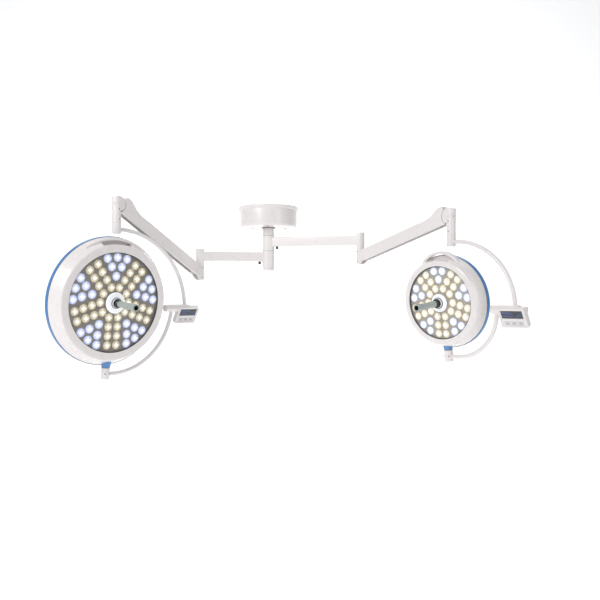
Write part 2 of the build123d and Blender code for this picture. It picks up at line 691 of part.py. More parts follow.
def front_shell(lamp):
    """White side wall and front ring, with the grab bar in one moulding."""
    body = head_outline(lamp, 0) + grab_bar(lamp)
    body -= finger_pocket(lamp, 0)
    hollow = head_outline(lamp, SHELL_WALL) - finger_pocket(lamp, SHELL_WALL)
    body -= hollow
    body -= rod_z(lamp.head_r - 3 - SHELL_WALL, RIM_FRONT - 1, RIM_FRONT + 2)
    body -= rod_z(lamp.disc_r, 0, 80)
    return lamp.face_frame() * one_solid(body)


def rim_ring(lamp):
    """Coloured rim band behind the side wall."""
    r = lamp.head_r
    wall = SHELL_WALL + 0.5
    ring = turned((r - wall, RIM_FRONT), (r - 1, RIM_FRONT), (r, RIM_FRONT - 2), (r, RIM_BACK + 5),
                  (r - 5, RIM_BACK), (r - RIM_LIP, RIM_BACK), (r - RIM_LIP, RIM_BACK + wall),
                  (r - 7, RIM_BACK + wall), (r - wall, RIM_BACK + 7))
    return lamp.face_frame() * ring


def rear_cover(lamp):
    """Shallow domed back: a spherical cap of even thickness."""
    edge = lamp.head_r - RIM_LIP
    depth = RIM_BACK - DOME_Z
    radius = (edge ** 2 + depth ** 2) / (2 * depth)
    outside = Pos(0, 0, DOME_Z + radius) * Sphere(radius)
    inside = Pos(0, 0, DOME_Z + SHELL_WALL + radius) * Sphere(radius)
    blank = rod_z(edge, DOME_Z - 1, RIM_BACK + SHELL_WALL)
    return lamp.face_frame() * one_solid((blank & outside) - inside)


def lens_places(lamp):
    """Positions of the warm and the cool lenses: five double rows and five petals between."""
    warm = [(side * lamp.warm_offset, row) for row in lamp.warm_rows for side in (-1, 1)]

    def fan(spots, first):
        turns = [radians(first + 72 * k) for k in range(5)]
        return [(along * cos(t) - across * sin(t), along * sin(t) + across * cos(t))
                for t in turns for across, along in spots]

    return fan(warm, -90), fan(lamp.cool_spots, 90)


def lens_group(lamp, places):
    """Optics with a flange on the reflector panel and a cone through it to the board."""
    outline = turned((0, 24), (9, 24), (18, PANEL_Z), (LENS_R, PANEL_Z), (LENS_R, PANEL_Z + 2.5),
                     (15, PANEL_Z + 5), (0, PANEL_Z + 6))
    return lamp.face_frame() * Compound([Pos(x, y, 0) * outline for x, y in places])


def reflector_panel(lamp):
    """Taupe panel with a hole for every lens."""
    panel = tube_z(lamp.disc_r + 5, 20, PANEL_Z - 2, PANEL_Z)
    for group in lens_places(lamp):
        panel -= Compound([rod_z(18.6, PANEL_Z - 3, PANEL_Z + 1, x, y) for x, y in group])
    return lamp.face_frame() * one_solid(panel)


def led_board(lamp):
    """Aluminium board with the light sources, stiffened by cooling ribs."""
    board = tube_z(lamp.disc_r - 4, 20, 19, 22)
    for place in PolarLocations(0, RIBS):
        board += place * span_box((40, lamp.disc_r - 10), (-1.5, 1.5), (-24, 19))
    return lamp.face_frame() * one_solid(board)


def front_glass(lamp):
    return lamp.face_frame() * tube_z(lamp.disc_r + 5, 26, GLASS_Z, GLASS_Z + GLASS_T)


def centre_boss(lamp):
    """White boss over the glass, and the ringed socket that carries the sterile grip."""
    top = GLASS_Z + GLASS_T
    boss = turned((10 + RUN_FIT, PANEL_Z), (25.7, PANEL_Z), (25.7, top), (lamp.boss_r, top),
                  (lamp.boss_r, top + 4), (lamp.boss_r - 5, top + 9), (10 + RUN_FIT, top + 11))
    rings = [(30, top + 11, top + 16), (27, top + 16, top + 21), (24.5, top + 21, top + 27)]
    sockets = [tube_z(r, 10 + RUN_FIT, low, high) for r, low, high in rings]
    return lamp.face_frame() * Compound([boss] + [one_solid(ring) for ring in sockets])


def sterile_grip(lamp):
    """Detachable grip that turns to focus, open at its end."""
    grip = turned((0, PANEL_Z + 2), (10, PANEL_Z + 2), (10, GRIP_START_Z), (21, GRIP_START_Z),
                  (21, GRIP_START_Z + 12), (GRIP_R - 1.5, GRIP_START_Z + 18),
                  (GRIP_R - 1.5, GRIP_START_Z + 50), (GRIP_R, GRIP_TIP_Z), (13, GRIP_TIP_Z),
                  (13, GRIP_TIP_Z - 60), (0, GRIP_TIP_Z - 60))
    return lamp.face_frame() * grip


def pivot_collar(lamp):
    """Coloured cone under the head and the spindle that turns in the yoke's socket."""
    seat = lamp.seat_drop
    cone = Pos(0, 0, -seat + GAP + 20) * Cone(SLEEVE_R, COLLAR_TOP_R, 40)
    cone += rod_z(COLLAR_TOP_R, -seat + 39, -seat + 60)
    cone += rod_z(TILT_SPINDLE_R, -seat - 45, -seat + 4)
    envelope = Rot(90, 0, 0) * (head_outline(lamp, 0) + rod_z(lamp.head_r, RIM_BACK, RIM_FRONT))
    return lamp.collar_frame() * one_solid(cone - envelope)


# ---------------------------------------------------------------- all pieces
def lamp_pieces(lamp):
    """Node name to shape for one lamp."""
    warm, cool = lens_places(lamp)
    pieces = {
        "extension_arm": extension_arm(lamp),
        "brake_screws": brake_screws(lamp),
        "elbow_knuckle": elbow_knuckle(lamp),
        "spring_arm_shell": spring_arm_shell(lamp),
        "balance_spring": balance_spring(lamp),
        "spring_seats": spring_seats(lamp),
        "parallel_link": parallel_link(lamp),
        "drop_knuckle": drop_knuckle(lamp),
        "upper_yoke": upper_yoke(lamp),
        "control_case": control_case(lamp),
        "control_screen": control_screen(lamp),
        "lower_yoke": lower_yoke(lamp),
        "pivot_collar": pivot_collar(lamp),
        "rear_cover": rear_cover(lamp),
        "rim_ring": rim_ring(lamp),
        "front_shell": front_shell(lamp),
        "reflector_panel": reflector_panel(lamp),
        "led_board": led_board(lamp),
        "cool_lenses": lens_group(lamp, cool),
        "warm_lenses": lens_group(lamp, warm),
        "front_glass": front_glass(lamp),
        "centre_boss": centre_boss(lamp),
        "sterile_grip": sterile_grip(lamp),
    }
    for index, key in enumerate(KEY_NAMES):
        pieces[key] = control_key(lamp, index)
    return {f"{lamp.name}_{node}": shape for node, shape in pieces.items()}


def mount_pieces():
    return {
        "ceiling_plate": ceiling_plate(),
        "canopy": canopy(),
        "canopy_screws": canopy_screws(),
        "column": column(),
        "column_bolts": column_bolts(),
        "column_cap": column_cap(),
        "hub_bushes": hub_bushes(),
        "power_supply": power_supply(),
    }


def main():
    os.makedirs("parts", exist_ok=True)
    pieces = mount_pieces()
    for lamp in LAMPS:
        pieces.update(lamp_pieces(lamp))
    for node, shape in pieces.items():
        export_step(shape, f"parts/{node}.step")


if __name__ == "__main__":
    main()
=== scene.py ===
"""Looks of the twin-head ceiling surgical light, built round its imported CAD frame.

Every piece is placed from the joints and nodes of the frame: each helper below returns a local
frame whose units are millimetres, so profiles and sizes read like the CAD's own dimensions.
"""
import json
import math
import random

import bpy
from mathutils import Matrix, Vector


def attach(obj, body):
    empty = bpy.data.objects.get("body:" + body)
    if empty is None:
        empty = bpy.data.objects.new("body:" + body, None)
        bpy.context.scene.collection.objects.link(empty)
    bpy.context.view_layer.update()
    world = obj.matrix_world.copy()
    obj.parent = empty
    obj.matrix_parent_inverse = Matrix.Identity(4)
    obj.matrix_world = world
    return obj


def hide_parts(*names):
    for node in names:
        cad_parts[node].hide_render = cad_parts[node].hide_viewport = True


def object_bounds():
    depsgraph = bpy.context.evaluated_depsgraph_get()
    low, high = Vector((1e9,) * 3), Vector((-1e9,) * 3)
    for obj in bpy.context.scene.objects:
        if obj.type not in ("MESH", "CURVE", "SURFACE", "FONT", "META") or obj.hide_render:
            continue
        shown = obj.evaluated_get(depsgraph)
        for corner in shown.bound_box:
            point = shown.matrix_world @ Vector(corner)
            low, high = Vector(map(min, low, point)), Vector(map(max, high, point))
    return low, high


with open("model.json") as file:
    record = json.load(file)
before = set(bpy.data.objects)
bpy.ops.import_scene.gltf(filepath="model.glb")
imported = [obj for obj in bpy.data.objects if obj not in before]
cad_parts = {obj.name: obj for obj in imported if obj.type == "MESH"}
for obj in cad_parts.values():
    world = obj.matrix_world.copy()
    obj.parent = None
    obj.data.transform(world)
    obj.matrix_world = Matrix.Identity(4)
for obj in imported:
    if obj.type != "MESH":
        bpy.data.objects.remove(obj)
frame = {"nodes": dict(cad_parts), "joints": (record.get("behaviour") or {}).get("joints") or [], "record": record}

cad_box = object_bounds()
scene = bpy.context.scene
nodes = frame["nodes"]
joints = {joint["name"]: joint for joint in frame["joints"]}

LAMPS = ("main", "satellite")
MM = 0.001
random.seed(7)

# Face frame, millimetres in front of the collar axis, as in the CAD
PANEL_Z = 38.0
FLANGE_Z = 40.5
GLASS_TOP = 48.0
LENS_R = 22.6
GRIP_Z = 76.0
RIM_BACK = -44.0
DOME_Z = -70.0

# Arms and ceiling mount, millimetres, as in the CAD
COLUMN_R = 35.0
PIVOT_BELOW_SEAM = 34.0
ARM_HALF_W = 25.0

# How much wider than its CAD node each lamp's optics are drawn
OPTIC_WIDEN = {"main": 1.12, "satellite": 1.0}

# Light powers in watts, and the studio's own glow
KEY_POWER = 128
FILL_POWER = 26
WALL_POWER = 74
FLOOR_POWER = 20
PAPER_GLOW = 0.32
WORLD_STRENGTH = 0.36


# ---------------------------------------------------------------- local frames
def basis(origin, x, y, z):
    """Matrix from local millimetres to the row frame."""
    turn = Matrix((x, y, z)).transposed().to_4x4()
    return Matrix.Translation(origin) @ turn @ Matrix.Scale(MM, 4)


def place_of(joint):
    return Vector(joints[joint]["pos_m"])


def axis_of(joint):
    return Vector(joints[joint]["axis"]).normalized()


def face_frame(lamp):
    """Z out of the lit face, Y up the face, origin on the collar axis at the head's middle."""
    z, y = axis_of(f"{lamp}_grip_focus"), axis_of(f"{lamp}_head_turn")
    root, seat = place_of(f"{lamp}_grip_focus"), place_of(f"{lamp}_head_turn")
    return basis(root - z * (root - seat).dot(z), y.cross(z), y, z)


def collar_frame(lamp):
    """Z up the collar axis, origin at the seam between collar and socket."""
    z, forward = axis_of(f"{lamp}_head_turn"), axis_of(f"{lamp}_grip_focus")
    return basis(place_of(f"{lamp}_head_turn"), z.cross(forward), forward, z)


def tilt_frame(lamp):
    """Z along the tilt axis, origin at the seam between tilt sleeve and housing."""
    z, up = axis_of(f"{lamp}_head_tilt"), Vector((0, 0, 1))
    return basis(place_of(f"{lamp}_head_tilt"), up, z.cross(up), z)


def panel_frame(lamp):
    """Z out of the control panel, Y up its face, origin at the middle of the display's glass."""
    z, x = -axis_of(f"{lamp}_key_dim_press"), axis_of(f"{lamp}_head_tilt")
    y = z.cross(x)
    turn = basis(Vector(), x, y, z)
    low, high = local_bounds(f"{lamp}_control_screen", turn)
    middle = Vector(((low.x + high.x) / 2, (low.y + high.y) / 2, high.z))
    return turn @ Matrix.Translation(middle)


def arm_frame(lamp, joint="arm_pitch"):
    """X along the spring arm, Y across it, Z up, origin on a pitch pivot."""
    start, end = place_of(f"{lamp}_arm_pitch"), place_of(f"{lamp}_drop_level")
    x, y = (end - start).normalized(), -axis_of(f"{lamp}_arm_pitch")
    return basis(place_of(f"{lamp}_{joint}"), x, y, x.cross(y))


def upright_frame(place):
    return basis(Vector(place), Vector((1, 0, 0)), Vector((0, 1, 0)), Vector((0, 0, 1)))


def local_points(node, local):
    into = local.inverted()
    return [into @ vertex.co for vertex in nodes[node].data.vertices]


def local_bounds(node, local):
    points = local_points(node, local)
    low = Vector([min(p[i] for p in points) for i in range(3)])
    high = Vector([max(p[i] for p in points) for i in range(3)])
    return low, high


# ---------------------------------------------------------------- node materials
class Shader:
    """A principled material with small helpers to wire its nodes."""

    def __init__(self, name, **inputs):
        self.material = bpy.data.materials.new(name)
        self.material.use_nodes = True
        self.tree = self.material.node_tree
        self.bsdf = self.tree.nodes["Principled BSDF"]
        self.output = self.tree.nodes["Material Output"]
        self.coords = self.tree.nodes.new("ShaderNodeTexCoord")
        for key, value in inputs.items():
            self.bsdf.inputs[key.replace("_", " ")].default_value = value

    def node(self, kind, **settings):
        made = self.tree.nodes.new(kind)
        for key, value in settings.items():
            setattr(made, key, value)
        return made

    def link(self, source, target):
        self.tree.links.new(source, target)

    def noise(self, scale, detail=3.0, stretch=None):
        """Noise over the object's own coordinates, scale in features per metre."""
        texture = self.node("ShaderNodeTexNoise")
        texture.inputs["Scale"].default_value = scale
        texture.inputs["Detail"].default_value = detail
        if stretch:
            mapping = self.node("ShaderNodeMapping")
            mapping.inputs["Scale"].default_value = stretch
            self.link(self.coords.outputs["Object"], mapping.inputs["Vector"])
            self.link(mapping.outputs["Vector"], texture.inputs["Vector"])
        else:
            self.link(self.coords.outputs["Object"], texture.inputs["Vector"])
        return texture.outputs["Fac"]

    def spread(self, value, low, high, start=0.3, end=0.7):
        """Maps a factor between start and end to low and high."""
        spread = self.node("ShaderNodeMapRange")
        for key, number in (("From Min", start), ("From Max", end), ("To Min", low), ("To Max", high)):
            spread.inputs[key].default_value = number
        self.link(value, spread.inputs["Value"])
        return spread.outputs["Result"]

    def blend(self, factor, first, second):
        """Colour between first and second, each a colour or a socket."""
        mix = self.node("ShaderNodeMix", data_type="RGBA")
        self.link(factor, mix.inputs[0])
        for socket, colour in ((mix.inputs[6], first), (mix.inputs[7], second)):
            if isinstance(colour, tuple):
                socket.default_value = (*colour, 1)
            else:
                self.link(colour, socket)
        return mix.outputs[2]

    def math(self, operation, first, second=None):
        node = self.node("ShaderNodeMath", operation=operation)
        for socket, value in zip(node.inputs, (first, second)):
            if value is None:
                continue
            if isinstance(value, (int, float)):
                socket.default_value = value
            else:
                self.link(value, socket)
        return node.outputs[0]

    def bump(self, height, distance, strength=0.4):
        bump = self.node("ShaderNodeBump")
        bump.inputs["Distance"].default_value = distance
        bump.inputs["Strength"].default_value = strength
        self.link(height, bump.inputs["Height"])
        self.link(bump.outputs["Normal"], self.bsdf.inputs["Normal"])

    def set(self, key, value):
        self.link(value, self.bsdf.inputs[key])


def coated(name, colour, shade, roughness, grain=900.0, orange_peel=0.00012, coat=0.3, metallic=0.0):
    """Paint or moulded plastic: faint cloudy tone, orange peel and uneven gloss."""
    made = Shader(name, Metallic=metallic, Coat_Weight=coat, Coat_Roughness=0.06)
    clouds = made.noise(7.0, 4.0)
    speck = made.noise(grain, 2.0)
    tone = made.blend(made.spread(clouds, 0, 1), colour, shade)
    dusty = tuple(channel * 0.93 for channel in shade)
    made.set("Base Color", made.blend(made.spread(speck, 0, 0.15, 0.5, 0.8), tone, dusty))
    made.set("Roughness", made.spread(made.noise(26.0, 3.0), roughness * 0.85, roughness * 1.2))
    made.bump(speck, orange_peel, 0.25)
    return made.material


def brushed(name, colour, shade, roughness, stretch=(60.0, 60.0, 1500.0)):
    """Machined or drawn metal with fine lines."""
    made = Shader(name, Metallic=1.0)
    lines = made.noise(1.0, 5.0, stretch)
    made.set("Base Color", made.blend(made.spread(lines, 0, 1), colour, shade))
    made.set("Roughness", made.spread(lines, roughness * 0.75, roughness * 1.3))
    made.bump(lines, 0.00005, 0.2)
    return made.material


def speckled_panel(name, light=1.0):
    """Satin lacquer of the reflector panel: fine metallic flake over a soft cloudy tone. The light factor scales
    the tone, so a copy with a larger factor is the same lacquer with painted light.
    """
    made = Shader(name, Metallic=0.15)
    flake = made.noise(2600.0, 1.0)
    clouds = made.noise(9.0, 3.0)
    tone = made.blend(made.spread(clouds, 0, 1), 
                      tuple(light * c for c in (0.215, 0.185, 0.150)),
                      tuple(light * c for c in (0.262, 0.232, 0.196)))
    made.set("Base Color", made.blend(made.spread(flake, 0, 0.6, 0.5, 0.75), tone, (0.40, 0.37, 0.33)))
    made.set("Roughness", made.spread(flake, 0.28, 0.46))
    made.bump(flake, 0.00006, 0.3)
    return made.material


def lens_material(name, body, edge, star, glow, strength):
    """Lit optic: a four-point star of light that fades into the tinted cup.  The shape is worked
    out in the lens's own plane, which its UV map holds as (x, y) over the lens radius."""
    made = Shader(name, Roughness=0.12, Coat_Weight=0.5, Coat_Roughness=0.03, IOR=1.49)
    plane = made.node("ShaderNodeUVMap", uv_map="lens")
    split = made.node("ShaderNodeSeparateXYZ")
    made.link(plane.outputs["UV"], split.inputs["Vector"])
    across = made.math("ABSOLUTE", split.outputs["X"])
    along = made.math("ABSOLUTE", split.outputs["Y"])
    arms = made.math("ADD", made.math("POWER", across, 0.62), made.math("POWER", along, 0.62))
    distance = made.math("SQRT", made.math("ADD", made.math("POWER", across, 2.0),
                                           made.math("POWER", along, 2.0)))
    ripple = made.noise(900.0, 2.0)
    beam = made.spread(made.math("ADD", arms, made.math("MULTIPLY", ripple, 0.12)), 1, 0, 0.62, 1.02)
    halo = made.spread(distance, 1, 0, 0.82, 0.98)
    made.set("Base Color", made.blend(beam, made.blend(halo, edge, body), star))
    made.set("Emission Color", made.blend(beam, made.blend(halo, edge, body), glow))
    light = made.math("MULTIPLY", made.math("ADD", made.math("MULTIPLY", beam, 0.5), 0.5), strength)
    made.set("Emission Strength", light)
    made.bump(ripple, 0.0001, 0.2)
    return made.material


def clear_glass(name):
    """Thin anti-glare cover: mostly see-through, with reflections that grow at grazing angles."""
    made = Shader(name, Roughness=0.05, IOR=1.45)
    made.set("Base Color", made.blend(made.noise(5.0), (0.80, 0.84, 0.86), (0.90, 0.92, 0.92)))
    clear = made.node("ShaderNodeBsdfTransparent")
    rim = made.node("ShaderNodeLayerWeight")
    rim.inputs["Blend"].default_value = 0.22
    smear = made.spread(made.noise(12.0, 4.0), 0.02, 0.06)
    share = made.math("ADD", made.math("MULTIPLY", rim.outputs["Fresnel"], 0.45), smear)
    mix = made.node("ShaderNodeMixShader")
    made.link(share, mix.inputs["Fac"])
    made.link(clear.outputs["BSDF"], mix.inputs[1])
    made.link(made.bsdf.outputs["BSDF"], mix.inputs[2])
    made.link(mix.outputs["Shader"], made.output.inputs["Surface"])
    return made.material


def display_material(name):
    """Switched-on display behind dark glass: faint cell grid over blue-black."""
    made = Shader(name, Roughness=0.08, Coat_Weight=0.8, Coat_Roughness=0.02)
    clouds = made.noise(22.0, 2.0)
    grid = made.noise(2200.0, 0.0)
    dark = made.blend(made.spread(clouds, 0, 1, 0.35, 0.65), (0.006, 0.008, 0.014), (0.018, 0.026, 0.055))
    made.set("Base Color", made.blend(made.spread(grid, 0, 0.5, 0.55, 0.7), dark, (0.03, 0.035, 0.05)))
    made.bump(grid, 0.00003, 0.1)
    return made.material


def pearl_painted_glow_material(name):
    """White lacquer with a thin clear film that breaks its highlights into faint colours, and a faint painted glow
    that brightens it.
    """
    made = Shader(name, Roughness=0.16, Coat_Weight=0.6, Coat_Roughness=0.03, Metallic=0.0, IOR=1.5)
    clouds = made.noise(18.0, 3.0)
    made.set("Base Color", made.blend(made.spread(clouds, 0, 1), (0.93, 0.94, 0.95), (0.88, 0.89, 0.91)))
    made.set("Thin Film Thickness", made.spread(made.noise(30.0, 2.0), 380.0, 620.0))
    made.bsdf.inputs["Thin Film IOR"].default_value = 1.6
    # painted glow: the boss is no lamp; this emission brightens it as painted light
    made.bsdf.inputs["Emission Color"].default_value = (0.95, 0.97, 1.0, 1)
    made.bsdf.inputs["Emission Strength"].default_value = 0.28
    made.bump(made.noise(700.0), 0.00008, 0.2)
    return made.material


MATERIALS = {
    "white_enamel": coated("enamel_white", (0.87, 0.825, 0.81), (0.855, 0.81, 0.795), 0.30),
    "white_column": coated("enamel_column", (0.87, 0.825, 0.81), (0.855, 0.81, 0.795), 0.16),
    "head_white": coated("head_moulding", (0.88, 0.835, 0.82), (0.865, 0.82, 0.805), 0.26, coat=0.5),
    "panel_white": coated("panel_moulding", (0.86, 0.82, 0.81), (0.845, 0.80, 0.79), 0.34),
    "boss_white": pearl_painted_glow_material("boss_pearl_painted_glow"),
    "blue_trim": coated("blue_moulding", (0.095, 0.275, 0.60), (0.08, 0.245, 0.55), 0.22, coat=0.6),
    "taupe_panel": speckled_panel("reflector_lacquer"),
    # painted light: the satellite's copy of the same reflector lacquer is drawn 1.9 times brighter
    "taupe_panel_painted_bright": speckled_panel("reflector_lacquer_painted_bright", 1.9),
    "cool_lens": lens_material("cool_optic", (0.58, 0.63, 0.84), (0.22, 0.23, 0.34),
                               (0.95, 0.97, 1.0), (0.97, 0.98, 1.0), 1.0),
    "warm_lens": lens_material("warm_optic", (0.58, 0.51, 0.36), (0.16, 0.135, 0.09),
                               (1.0, 0.96, 0.90), (1.0, 0.965, 0.90), 0.95),
    # painted light: brighter copies of the same optics, with lighter body and rim colours and a stronger glow, for
    # the satellite head
    "cool_lens_painted_bright": lens_material("cool_optic_painted_bright", (0.66, 0.71, 0.86), (0.30, 0.31, 0.40),
                                    (0.95, 0.97, 1.0), (0.97, 0.98, 1.0), 1.15),
    "warm_lens_painted_bright": lens_material("warm_optic_painted_bright", (0.68, 0.62, 0.48), (0.27, 0.24, 0.17),
                                    (1.0, 0.96, 0.90), (1.0, 0.97, 0.92), 1.1),
    "clear_glass": clear_glass("cover_glass"),
    "display_glass": display_material("display_dark"),
    "key_plastic": coated("key_rubber", (0.66, 0.65, 0.67), (0.60, 0.59, 0.61), 0.5, 1500.0, 0.0002, 0.0),
    "grip_plastic": coated("grip_satin", (0.40, 0.45, 0.43), (0.36, 0.41, 0.395), 0.34, 1800.0, 0.0002),
    "grey_link": coated("link_paint", (0.36, 0.325, 0.31), (0.31, 0.28, 0.27), 0.42),
    "grey_case": coated("supply_paint", (0.42, 0.43, 0.44), (0.38, 0.39, 0.40), 0.5),
    "steel": brushed("steel_satin", (0.62, 0.62, 0.63), (0.50, 0.50, 0.52), 0.32),
    "dark_steel": brushed("steel_black", (0.10, 0.10, 0.11), (0.06, 0.06, 0.07), 0.38),
    "spring_steel": brushed("spring_oiled", (0.30, 0.29, 0.29), (0.20, 0.20, 0.20), 0.35),
    "aluminium": brushed("board_aluminium", (0.72, 0.73, 0.74), (0.62, 0.63, 0.64), 0.4),
    "bearing_plastic": coated("washer_acetal", (0.15, 0.145, 0.14), (0.12, 0.115, 0.11), 0.5),
    "rubber": coated("seal_rubber", (0.055, 0.055, 0.058), (0.04, 0.04, 0.042), 0.6, 1600.0, 0.0003, 0.0),
    "print": coated("print_grey", (0.10, 0.11, 0.13), (0.07, 0.08, 0.10), 0.5),
}
display_lit = Shader("display_lit", Roughness=0.3, Base_Color=(0.05, 0.07, 0.14, 1), Emission_Strength=0.12)
display_lit.set("Emission Color", display_lit.blend(display_lit.noise(60.0), (0.10, 0.16, 0.40),
                                                     (0.22, 0.32, 0.62)))
MATERIALS["display_lit"] = display_lit.material


# ---------------------------------------------------------------- mesh helpers
def add_mesh(name, body, material, record_slot, verts, faces, local, smooth=True, lens_uv=None):
    """A mesh object from local millimetre points, riding on a CAD body."""
    mesh = bpy.data.meshes.new(name)
    mesh.from_pydata([local @ Vector(v) for v in verts], [], faces)
    mesh.validate()
    mesh.polygons.foreach_set("use_smooth", [smooth] * len(mesh.polygons))
    if lens_uv:
        layer = mesh.uv_layers.new(name="lens")
        for loop in mesh.loops:
            layer.data[loop.index].uv = lens_uv[loop.vertex_index]
    mesh.materials.append(MATERIALS[material])
    made = bpy.data.objects.new(name, mesh)
    scene.collection.objects.link(made)
    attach(made, body)
    if smooth and not lens_uv:
        crease(made, 35.0)
    return made


def crease(item, angle):
    """Keeps edges sharper than the angle crisp on a smooth-shaded mesh."""
    split = item.modifiers.new("crease", "EDGE_SPLIT")
    split.split_angle = math.radians(angle)


class Parts:
    """Gathers simple closed solids into one mesh."""

    def __init__(self):
        self.verts, self.faces, self.uvs = [], [], []

    def add(self, verts, faces, place=None, uvs=None):
        start = len(self.verts)
        self.verts += [place @ Vector(v) if place else Vector(v) for v in verts]
        self.faces += [[start + i for i in face] for face in faces]
        self.uvs += uvs or [(0, 0)] * len(verts)

    def lathe(self, profile, steps=48, place=None, closed=True, flutes=None):
        """Solid of revolution about local Z from (radius, z) points; a zero radius closes it."""
        verts, faces, rings = [], [], []
        for radius, z in profile:
            if radius == 0:
                rings.append([len(verts)] * steps)
                verts.append((0, 0, z))
                continue
            rings.append(list(range(len(verts), len(verts) + steps)))
            for k in range(steps):
                turn = 2 * math.pi * k / steps
                reach = radius * (flutes(turn) if flutes else 1)
                verts.append((reach * math.cos(turn), reach * math.sin(turn), z))
        pairs = list(zip(rings, rings[1:]))
        if closed:
            pairs.append((rings[-1], rings[0]))
        for low, high in pairs:
            for k in range(steps):
                n = (k + 1) % steps
                face = [low[k], low[n], high[n], high[k]]
                face = [v for i, v in enumerate(face) if v not in face[:i]]
                if len(face) > 2:
                    faces.append(face)
        self.add(verts, faces, place)

    def slab(self, width, depth, low, high, place=None, radius=1.5, bevel=0.4, steps=4):
        """Rounded rectangle plate with a small bevel round its top."""
        verts, faces = [], []
        levels = ((low, 0.0), (high - bevel, 0.0), (high - bevel * 0.3, bevel * 0.3), (high, bevel))
        count = 0
        for z, inset in levels:
            ring = []
            for corner, (sx, sy) in enumerate(((1, 1), (-1, 1), (-1, -1), (1, -1))):
                for k in range(steps + 1):
                    turn = math.pi / 2 * (corner + k / steps)
                    r = max(radius - inset, 0.05)
                    ring.append((sx * (width / 2 - radius) + r * math.cos(turn),
                                 sy * (depth / 2 - radius) + r * math.sin(turn), z))
            count = len(ring)
            verts += ring
        for level in range(len(levels) - 1):
            for k in range(count):
                n = (k + 1) % count
                a, b = level * count, (level + 1) * count
                faces.append([a + k, a + n, b + n, b + k])
        top = (len(levels) - 1) * count
        faces.append([top + k for k in range(count)])
        faces.append([k for k in reversed(range(count))])
        self.add(verts, faces, place)

    def build(self, name, body, material, record_slot, local, **options):
        return add_mesh(name, body, material, record_slot, self.verts, self.faces, local, **options)


def shift(x, y, z=0.0, turn=0.0):
    return Matrix.Translation((x, y, z)) @ Matrix.Rotation(math.radians(turn), 4, "Z")


def toward(x, y, z, axis):
    """Places local Z along an axis of the surrounding frame."""
    aim = Vector((0, 0, 1)).rotation_difference(Vector(axis)).to_matrix().to_4x4()
    return Matrix.Translation((x, y, z)) @ aim


def screw_head(parts, radius, place, height=1.6, socket=0.5):
    """Socket-head screw: chamfered head with a sunk recess."""
    inner = radius * socket
    parts.lathe([(0, 0), (radius, 0), (radius, height * 0.7), (radius * 0.88, height), (inner, height),
                 (inner * 0.9, height * 0.25), (0, height * 0.2)], 24, place, closed=False)


# ---------------------------------------------------------------- finish on the CAD nodes
slots = {part["node"]: part["material_slot"] for part in frame["record"]["subparts"]}
for node, item in nodes.items():
    item.data.materials.clear()
    item.data.materials.append(MATERIALS[slots[node]])
    item.data.polygons.foreach_set("use_smooth", [True] * len(item.data.polygons))
    weld = item.modifiers.new("weld", "WELD")
    weld.merge_threshold = 0.000002
    crease(item, 28.0)


# painted light: the satellite's reflector panel gets the brighter copy of the same lacquer
nodes["satellite_reflector_panel"].data.materials[0] = MATERIALS["taupe_panel_painted_bright"]


def paint_part(node, material, local, chosen):
    """Gives the faces of a CAD node whose local middle is chosen another material."""
    item = nodes[node]
    item.data.materials.append(MATERIALS[material])
    index = len(item.data.materials) - 1
    into = local.inverted()
    for face in item.data.polygons:
        if chosen(into @ face.center, into.to_3x3() @ face.normal):
            face.material_index = index


# ---------------------------------------------------------------- lamp heads
def lens_centres(node, local):
    """Middle of each separate optic of a CAD lens node, in the face frame."""
    mesh = nodes[node].data
    points = local_points(node, local)
    key = [tuple(round(c, 2) for c in p) for p in points]
    parent = {k: k for k in key}

    def root(k):
        while parent[k] != k:
            parent[k] = parent[parent[k]]
            k = parent[k]
        return k

    for face in mesh.polygons:
        first = root(key[face.vertices[0]])
        for v in face.vertices[1:]:
            parent[root(key[v])] = first
    groups = {}
    for k in set(key):
        groups.setdefault(root(k), []).append(k)
    centres = []
    for group in groups.values():
        xs, ys = [k[0] for k in group], [k[1] for k in group]
        centres.append(((min(xs) + max(xs)) / 2, (min(ys) + max(ys)) / 2))
    return sorted(centres)


def lens_solid(parts, x, y, widen, steps=32):
    """One optic: flange, rounded collar and a four-lobed crown, with its UV plane."""
    profile = [(LENS_R, PANEL_Z), (LENS_R, FLANGE_Z - 0.6), (LENS_R - 0.8, FLANGE_Z), (20.6, FLANGE_Z),
               (20.0, FLANGE_Z - 0.9), (18.8, FLANGE_Z - 1.0), (18.2, FLANGE_Z + 0.3),
               (16.5, FLANGE_Z + 1.7), (13.0, FLANGE_Z + 2.5), (9.0, FLANGE_Z + 3.0), (4.5, FLANGE_Z + 3.3)]
    verts, faces, uvs = [], [], []
    for radius, z in profile:
        lobe = 0.35 if 3 < radius < 17 else 0.0
        wide = radius * widen
        for k in range(steps):
            turn = 2 * math.pi * k / steps
            verts.append((x + wide * math.cos(turn), y + wide * math.sin(turn),
                          z + lobe * math.cos(4 * turn) * radius / 16))
            uvs.append((radius * math.cos(turn) / LENS_R, radius * math.sin(turn) / LENS_R))
    for level in range(len(profile) - 1):
        for k in range(steps):
            n = (k + 1) % steps
            a, b = level * steps, (level + 1) * steps
            faces.append([a + k, a + n, b + n, b + k])
    for z, rim, flip in ((PANEL_Z, 0, True), (FLANGE_Z + 3.4, len(profile) - 1, False)):
        middle = len(verts)
        verts.append((x, y, z))
        uvs.append((0, 0))
        for k in range(steps):
            n = (k + 1) % steps
            face = [rim * steps + k, rim * steps + n, middle]
            faces.append(face[::-1] if flip else face)
    parts.add(verts, faces, uvs=uvs)


